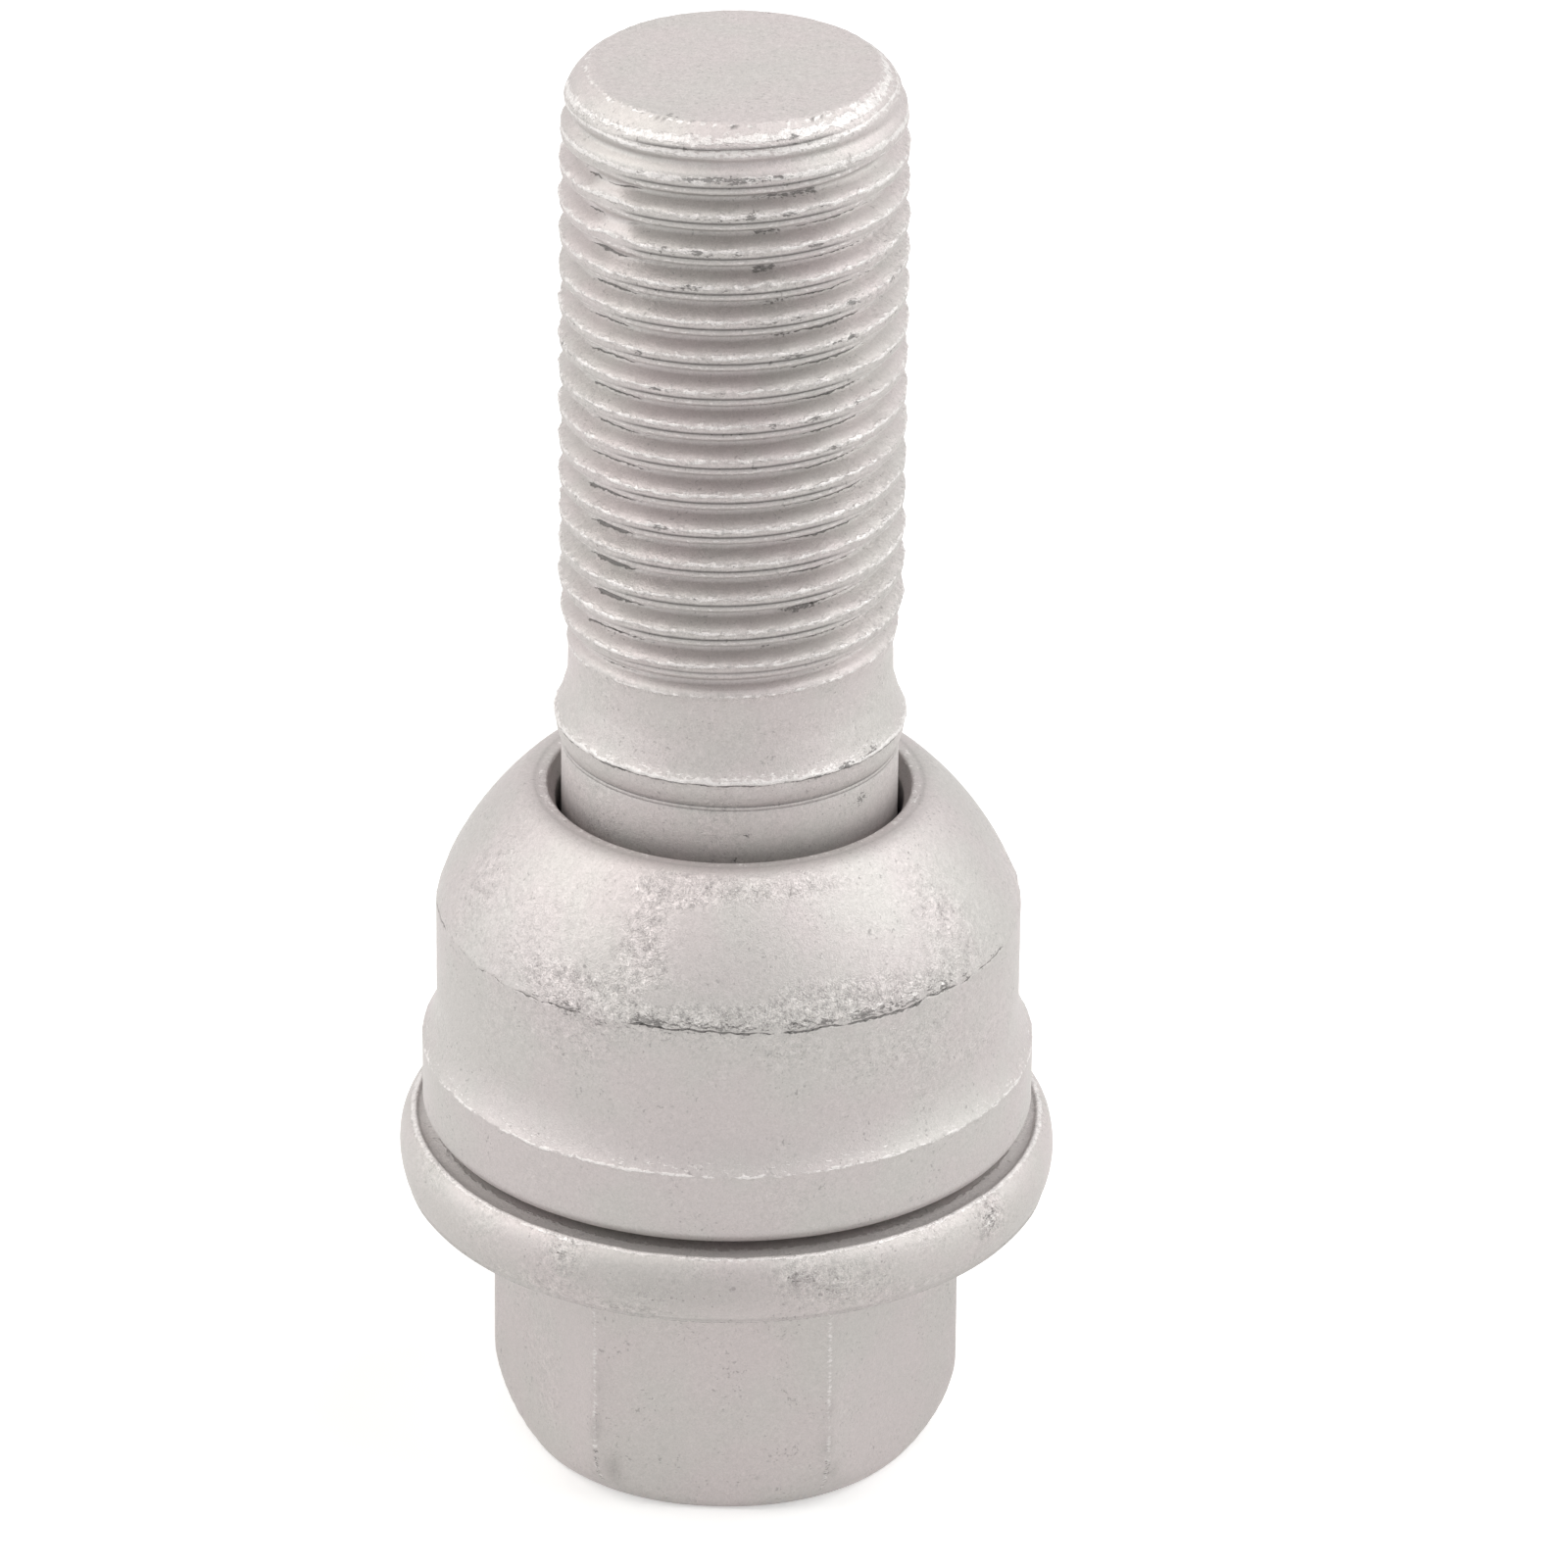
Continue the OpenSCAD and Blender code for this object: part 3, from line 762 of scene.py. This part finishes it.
ring_r += outer * waves(at, (0.005, 1.5, 83), (0.003, 0.35, 84))
ring_r += on_ball * (0.002 + 0.016 * dimples) * pebble
ring_r -= groove * (0.006 + 0.06 * crack)
ring_r += crumbs * (0.012 + waves(at, (0.03, 0.3, 87)))
ring_r += flare_lip * (waves(at, (0.02, 0.4, 88)) - 0.06 * flare_chips)
ring_r = np.minimum(ring_r, BAND_RADIUS + 0.03)
print("crack open on", round(float((crack[0] > 0.5).mean()) * 100), "percent of its way")

# %% Mark the collar and build it
open_seam = crack * outer
by_seam = outer * (0.3 + 0.7 * crack)
collar_marks = {
    # Rubbed edges, and painted light on the flare just above its broken edge and on the mouth's bevel
    "lip": weighed(
        (0.38 + waves(at, (0.3, 0.5, 89)), flare_lip), (0.3, band_at(from_flare, 0.3, 0.28) * outer),
        (0.3, dimples * np.clip(pebble, 0, 1)), (0.35, band_at(from_seam, 0.22, 0.18) * open_seam),
        (0.34, (ring_h > 29.35) * (ring_r < 7.82))),
    # Painted shade in the bore; dirt at the flare's chips; a darker ring on the land by the mouth
    "grime": weighed(
        (0.6, (ring_r < 7.2) * (ring_h < MOUTH_FOOT)), (0.35, flare_lip * flare_chips),
        (0.18, band_at(ring_r, 7.93, 0.06) * (ring_h > 29.4))),
    "flaw": weighed(
        (0.4, crumbs * by_seam), (0.42, band_at(from_seam, 0.3, 0.3) * by_seam), (0.22, dimples),
        (0.34, wall_marks), (0.35, band_at(from_seam, -0.15, 0.15) * outer), (0.25, flare_lip)),
    "rough": 0.05 + weighed((0.22, speckled), (0.08, on_ball), (0.8, dimples), (0.5, wall_marks)),
    "across": 0.5 + from_seam,
    "open": weighed((0.16, outer), (0.48, open_seam)) * (np.abs(from_seam) < 0.4),
}
ring_points = polar(ring_angle, ring_r, ring_h)
ring_numbers = numbered(0, len(outline), RING_COLUMNS)
ring_faces = grid_faces(np.concatenate([ring_numbers, ring_numbers[:1]]), True)
ring_marks = {key: values.ravel() for key, values in collar_marks.items()}
collar = make_piece("ball_collar", ring_points.reshape(-1, 3), ring_faces, np.zeros((0, 3), int), ring_marks)
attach(collar, "collar")
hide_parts("seat_collar")

# %% [markdown]
# ## Node helpers
# A material is a graph of nodes. A few helpers keep it short here: they add a node and fill
# its sockets, do sums, and make a node group, a box of nodes that several materials can share.

# %% Define the node helpers
# Sockets with these names don't hold a plain number
SOCKETS = dict.fromkeys(("Pale", "Warm", "Rubbed", "Dirty", "Color"), "NodeSocketColor")
SOCKETS["Vector"] = "NodeSocketVector"


def add_node(tree, kind, settings=None, **sockets):
    """A node of this kind. Settings are its own values; sockets are named with _ for a space
    and get either a number, a colour or another node's output."""
    made = tree.nodes.new(kind)
    for key, value in (settings or {}).items():
        setattr(made, key, value)
    for key, value in sockets.items():
        socket = made.inputs[int(key[1:])] if key[1:].isdigit() else made.inputs[key.replace("_", " ")]
        if isinstance(value, bpy.types.NodeSocket):
            tree.links.new(value, socket)
        else:
            socket.default_value = value
    return made


def maths(operation, one, other=0):
    """The result of a Math node in the tree that its first or second value comes from."""
    tree = (one if isinstance(one, bpy.types.NodeSocket) else other).id_data
    return add_node(tree, "ShaderNodeMath", {"operation": operation}, _0=one, _1=other).outputs[0]


plus, minus, times = (partial(maths, operation) for operation in ("ADD", "SUBTRACT", "MULTIPLY"))


def soft_range(value, low, high):
    """0 where the value is below low and 1 above high, with a smooth step in between."""
    return add_node(value.id_data, "ShaderNodeMapRange", {"interpolation_type": "SMOOTHSTEP"}, Value=value,
                    From_Min=low, From_Max=high).outputs[0]


def noise_node(vector, scale, detail, distortion=0):
    """The value of a noise texture at this vector and scale."""
    return add_node(vector.id_data, "ShaderNodeTexNoise", Vector=vector, Scale=scale, Detail=detail,
                    Roughness=0.6, Distortion=distortion).outputs["Fac"]


def new_group(name, inputs, outputs):
    """An empty node group with these sockets; returns the group and its two end nodes' sockets."""
    group = bpy.data.node_groups.new(name, "ShaderNodeTree")
    for side, labels in (("INPUT", inputs), ("OUTPUT", outputs)):
        for label in labels.split():
            group.interface.new_socket(label, in_out=side, socket_type=SOCKETS.get(label, "NodeSocketFloat"))
    return group, group.nodes.new("NodeGroupInput").outputs, group.nodes.new("NodeGroupOutput").inputs


def use_group(tree, group, **sockets):
    """A group node in a material, with its sockets filled."""
    return add_node(tree, "ShaderNodeGroup", {"node_tree": group}, **sockets).outputs


print("helpers ready")

# %% [markdown]
# ## The flake coat's grain
# Zinc flakes lie in the coat like tiny fish scales, as short strokes about a tenth of a
# millimetre wide. A noise bent by its own distortion gives such strokes, a broader one adds the
# lumps of the pressed ball, and a third, kept to a few clusters, picks dark specks of dust.

# %% Make the grain group
grain_group, given, result = new_group("flake_grain", "Vector Grain Rough", "Height Specks")


def grain_noise(share, detail, distortion=0):
    """Noise at a share of the coat's own grain."""
    return noise_node(given["Vector"], times(given["Grain"], share), detail, distortion)


strokes = minus(grain_noise(1, detail=1.5, distortion=1.4), 0.5)
strokes_share = plus(times(given["Rough"], 1.2), 0.38)
lumps = minus(grain_noise(0.38, detail=2), 0.5)
lumps_share = times(given["Rough"], 1.1)
relief = plus(times(strokes, strokes_share), times(lumps, lumps_share))
grain_group.links.new(relief, result["Height"])
specks = soft_range(grain_noise(0.7, detail=1), low=0.63, high=0.72)
clusters = soft_range(grain_noise(0.07, detail=1), low=0.45, high=0.62)
grain_group.links.new(times(specks, clusters), result["Specks"])
print("group", grain_group.name, "with", len(grain_group.nodes), "nodes")

# %% [markdown]
# ## Broken edges
# A torn lip comes and goes within a few tenths of a millimetre, finer than the mesh. So the
# mesh stores only how likely it is at each point, and a noise in the material decides where it
# shows. The noise is squeezed along the axis, because the tearing runs round the bolt.

# %% Make the group for broken edges
SQUEEZE = (1, 1, 2.4)

broken_group, given, result = new_group("broken_edge", "Vector Strokes Weight Low High", "Mask")
squeezed = add_node(broken_group, "ShaderNodeVectorMath", {"operation": "MULTIPLY"}, _0=given["Vector"],
                    _1=SQUEEZE).outputs[0]
likely = plus(noise_node(squeezed, given["Strokes"], detail=2, distortion=0.3), given["Weight"])
broken_group.links.new(soft_range(likely, given["Low"], given["High"]), result["Mask"])
print("group", broken_group.name, "with", len(broken_group.nodes), "nodes")

# %% [markdown]
# ## Thin dark lines: cracks, dirt and painted shadow
# A crack, a line of dirt or a line of painted shadow under a thread's lip or the bead's burr is
# thinner than one face of the mesh, and its place can still be exact: the mesh stores the
# distance to the line, which changes evenly from vertex to vertex, and the material draws the
# line where that distance is small. How far the line is open comes from the mesh too, and noise
# makes its sides ragged.

# %% Make the group for thin lines
line_group, given, result = new_group("thin_line", "Vector Across Open", "Mask")
ragged = minus(noise_node(given["Vector"], 5200, detail=2), 0.5)
bend = minus(noise_node(given["Vector"], 2600, detail=1), 0.5)
away = maths("ABSOLUTE", minus(plus(given["Across"], times(bend, 0.12)), 0.5))
wide = plus(times(given["Open"], 2.2), times(ragged, 1.6))
inside = minus(wide, times(away, 20))
line_group.links.new(soft_range(inside, low=0.3, high=0.75), result["Mask"])
print("group", line_group.name, "with", len(line_group.nodes), "nodes")

# %% [markdown]
# ## The flake coat's colour
# The coat is a pale warm grey, a little lighter where edges are rubbed and where light is
# painted on, darker in pits where dust and oil stay and with painted shade in folds, grooves and
# the bore, and it changes slowly from place to place. The grain's height paints glints on the
# flakes and shade in their hollows. The masks come from outside, so the same group serves the
# bolt and the collar.

# %% Make the colour group
coat_group, given, result = new_group(
    "flake_coat", "Vector Pale Warm Rubbed Dirty Lip Grime Flaw Specks Height", "Color Roughness")


def blend(share, one, other):
    """The colour `one` turning into `other` by the share."""
    mixed = add_node(coat_group, "ShaderNodeMix", {"data_type": "RGBA"}, _0=share, _6=one, _7=other)
    return mixed.outputs[2]


clouds = soft_range(noise_node(given["Vector"], 210, detail=3), low=0.35, high=0.65)
coat = blend(clouds, given["Pale"], given["Warm"])
coat = blend(given["Lip"], coat, given["Rubbed"])
# Dust specks, grime and flaws, with the painted shade and shadow that these masks carry, darken the coat
dirt_and_shade = plus(times(given["Specks"], 0.3), given["Grime"])
dirt_and_shade = plus(dirt_and_shade, times(given["Flaw"], 0.62))
dirt_and_shade_mask = add_node(coat_group, "ShaderNodeClamp", Value=dirt_and_shade).outputs[0]
coat = blend(dirt_and_shade_mask, coat, given["Dirty"])
# Painted glints and shade of the grain, with the flakes' own tone: lighter on its high points, darker in its
# hollows
grain_tone_and_shade = plus(times(given["Height"], 0.85), 1)
coat = add_node(coat_group, "ShaderNodeVectorMath", {"operation": "SCALE"}, _0=coat, Scale=grain_tone_and_shade).outputs[0]
coat_group.links.new(coat, result["Color"])
shine = plus(minus(0.56, times(given["Height"], 0.15)), times(dirt_and_shade_mask, 0.25))
coat_group.links.new(shine, result["Roughness"])
print("group", coat_group.name, "with", len(coat_group.nodes), "nodes")

# %% [markdown]
# ## Two coated steels
# Both pieces have the same coat, but the collar's has a coarser grain, and its rubbed edges and
# painted light are paler. The grain and the torn edges go into Bump nodes, and the marks on the
# vertices, painted light and shade among them, into the colour.

# %% Make the two materials
TEAR_HEIGHT = 0.000018
METAL_SHARE = 0.75


def coated_steel(name, grain, bump, **colours):
    """A coated steel from the groups: grain per metre, bump height in metres and colours."""
    material = bpy.data.materials.new(name)
    material.use_nodes = True
    tree = material.node_tree
    shader = tree.nodes["Principled BSDF"]
    where = add_node(tree, "ShaderNodeTexCoord").outputs["Object"]
    lip, grime, flaw, rough, across, opened = (
        add_node(tree, "ShaderNodeAttribute", {"attribute_name": mark}).outputs["Fac"]
        for mark in "lip grime flaw rough across open".split())
    flakes = use_group(tree, grain_group, Vector=where, Grain=grain, Rough=rough)
    rubbed_lit_mask = use_group(tree, broken_group, Vector=where, Strokes=3600, Weight=times(lip, 0.8),
                     Low=0.8, High=1)["Mask"]
    flaw_and_shade_mask = use_group(tree, broken_group, Vector=where, Strokes=4700, Weight=times(flaw, 0.6),
                      Low=0.95, High=1.1)["Mask"]
    # Thin lines: the collar's seam crack, and painted shadow with some dirt under the thread's lips and the
    # bead's burr; they darken the colour with the grime and painted shade
    lines = use_group(tree, line_group, Vector=where, Across=across, Open=opened)["Mask"]
    coat = use_group(tree, coat_group, Vector=where, Lip=rubbed_lit_mask, Flaw=flaw_and_shade_mask, Specks=flakes["Specks"],
                     Grime=plus(times(lines, 0.68), grime), Height=flakes["Height"],
                     **{key: (*colour, 1) for key, colour in colours.items()})
    torn = minus(minus(rubbed_lit_mask, flaw_and_shade_mask), lines)
    grained = add_node(tree, "ShaderNodeBump", Height=flakes["Height"], Distance=bump)
    tearing = add_node(tree, "ShaderNodeBump", Height=torn, Distance=TEAR_HEIGHT, Normal=grained.outputs[0])
    tree.links.new(coat["Color"], shader.inputs["Base Color"])
    tree.links.new(coat["Roughness"], shader.inputs["Roughness"])
    tree.links.new(tearing.outputs[0], shader.inputs["Normal"])
    shader.inputs["Metallic"].default_value = METAL_SHARE
    print("material", name)
    return material


bolt.data.materials.append(coated_steel(
    "coated_bolt_steel", grain=8500, bump=0.00003, Pale=(0.515, 0.49, 0.475), Warm=(0.535, 0.49, 0.485),
    Rubbed=(0.675, 0.645, 0.635), Dirty=(0.13, 0.125, 0.12)))
collar.data.materials.append(coated_steel(
    "coated_collar_steel", grain=7500, bump=0.000034, Pale=(0.506, 0.483, 0.469), Warm=(0.52, 0.478, 0.474),
    Rubbed=(0.7, 0.67, 0.66), Dirty=(0.14, 0.135, 0.13)))

# %% [markdown]
# ## Camera
# The picture was taken from about forty centimetres with a long lens, looking down by a little
# under 27 degrees. The object stands a little left of the middle, which is a shift of the lens
# and not a turn of the camera.

# %% Set the camera
CAMERA_AZIMUTH = math.radians(273.53)
CAMERA_LIFT = math.radians(26.83)
CAMERA_DOWN = math.radians(26.6)
CAMERA_ROLL = math.radians(0.48)
CAMERA_DISTANCE = 409.8
AIM_HEIGHT = 27.5
SENSOR = 36
PICTURE_PIXELS = 1600
FOCAL_PIXELS = 10224
SHIFT_PIXELS = 55.6
QUARTER_TURN = math.pi / 2

camera_data = bpy.data.cameras.new("camera")
camera_data.sensor_width = SENSOR
camera_data.lens = FOCAL_PIXELS / PICTURE_PIXELS * SENSOR
camera_data.shift_x = SHIFT_PIXELS / PICTURE_PIXELS
camera_data.clip_start = 0.01
camera = add_object("camera", camera_data)
flat_way = CAMERA_DISTANCE * math.cos(CAMERA_LIFT)
camera.location = (flat_way * math.cos(CAMERA_AZIMUTH) * MM, flat_way * math.sin(CAMERA_AZIMUTH) * MM,
                   (AIM_HEIGHT + CAMERA_DISTANCE * math.sin(CAMERA_LIFT)) * MM)
camera.rotation_mode = "XYZ"
turn = (Matrix.Rotation(CAMERA_AZIMUTH + QUARTER_TURN, 4, "Z")
        @ Matrix.Rotation(QUARTER_TURN - CAMERA_DOWN, 4, "X") @ Matrix.Rotation(CAMERA_ROLL, 4, "Z"))
camera.rotation_euler = turn.to_euler("XYZ")
bpy.context.scene.camera = camera
print("camera at", [round(v, 3) for v in camera.location], "lens", round(camera_data.lens, 1), "mm")

# %% [markdown]
# ## Floor, lamps and sky
# The picture has a plain white ground and the even light of a tent. The pale floor catches the
# object's shadow, and seen by the camera it glows a little, so that it reads as white. Two low
# lamps and two high ones stand at the left and right, and a weak one behind. The front gets
# light from the sky alone, which gives round metal its darker middle.

# %% Build the floor
FLOOR_HALF = 3
FLOOR_LEVEL = -0.00002
FLOOR_GLOW = 0.35


def seen_glow(tree):
    """1 for rays of the camera and of mirrored light, and 0 for the light that falls on things."""
    path = add_node(tree, "ShaderNodeLightPath")
    return maths("MAXIMUM", path.outputs["Is Camera Ray"], path.outputs["Is Glossy Ray"])


sheet = bpy.data.meshes.new("floor")
corners = [(x * FLOOR_HALF, y * FLOOR_HALF, FLOOR_LEVEL) for x, y in ((-1, -1), (1, -1), (1, 1), (-1, 1))]
sheet.from_pydata(corners, [], [(0, 1, 2, 3)])
floor = add_object("floor", sheet)
floor_paint = bpy.data.materials.new("pale_floor")
floor_paint.use_nodes = True
tree = floor_paint.node_tree
paint = tree.nodes["Principled BSDF"]
for label, value in (("Base Color", (0.93, 0.93, 0.93, 1)), ("Roughness", 0.9), ("Specular IOR Level", 0),
                     ("Emission Color", (1, 1, 1, 1))):
    paint.inputs[label].default_value = value
tree.links.new(times(seen_glow(tree), FLOOR_GLOW), paint.inputs["Emission Strength"])
floor.data.materials.append(floor_paint)
print("floor", [round(v, 2) for v in floor.dimensions])

# %% Set the lamps and the sky
MIDDLE = (0, 0, 0.03)
SKY_LIGHT = 0.27
SKY_SEEN = 1
# Each lamp: name, azimuth and lift in degrees, distance, width and height in metres, watts, colour
LAMPS = (
    ("left_lamp", 185, 8, 0.5, 0.5, 0.5, 0.7, (0.9, 1, 0.99)),
    ("right_lamp", 2, 8, 0.5, 0.5, 0.5, 0.6, (0.91, 1, 0.95)),
    ("left_top_lamp", 185, 50, 0.5, 0.5, 0.5, 1.43, (1, 0.965, 0.925)),
    ("right_top_lamp", 2, 50, 0.5, 0.5, 0.5, 1.55, (1, 1, 0.99)),
    ("back_lamp", 93, 30, 0.6, 0.8, 0.4, 0.22, (1, 1, 1)),
)

for name, azimuth, lift, distance, width, tall, power, colour in LAMPS:
    data = bpy.data.lights.new(name, "AREA")
    data.shape = "RECTANGLE"
    data.size = width
    data.size_y = tall
    data.energy = power
    data.color = colour
    lamp = add_object(name, data)
    around = Matrix.Rotation(math.radians(azimuth) + QUARTER_TURN, 4, "Z")
    tilt = Matrix.Rotation(QUARTER_TURN - math.radians(lift), 4, "X")
    lamp.matrix_world = Matrix.Translation(MIDDLE) @ around @ tilt @ Matrix.Translation((0, 0, distance))

world = bpy.data.worlds.new("tent")
bpy.context.scene.world = world
world.use_nodes = True
sky = world.node_tree
strength = plus(times(seen_glow(sky), SKY_SEEN - SKY_LIGHT), SKY_LIGHT)
sky.nodes["Background"].inputs["Color"].default_value = (1, 1, 1, 1)
sky.links.new(strength, sky.nodes["Background"].inputs["Strength"])
bpy.context.scene.view_settings.view_transform = "Standard"
print("lamps:", len(LAMPS), "with", round(sum(lamp[6] for lamp in LAMPS), 2), "W together")
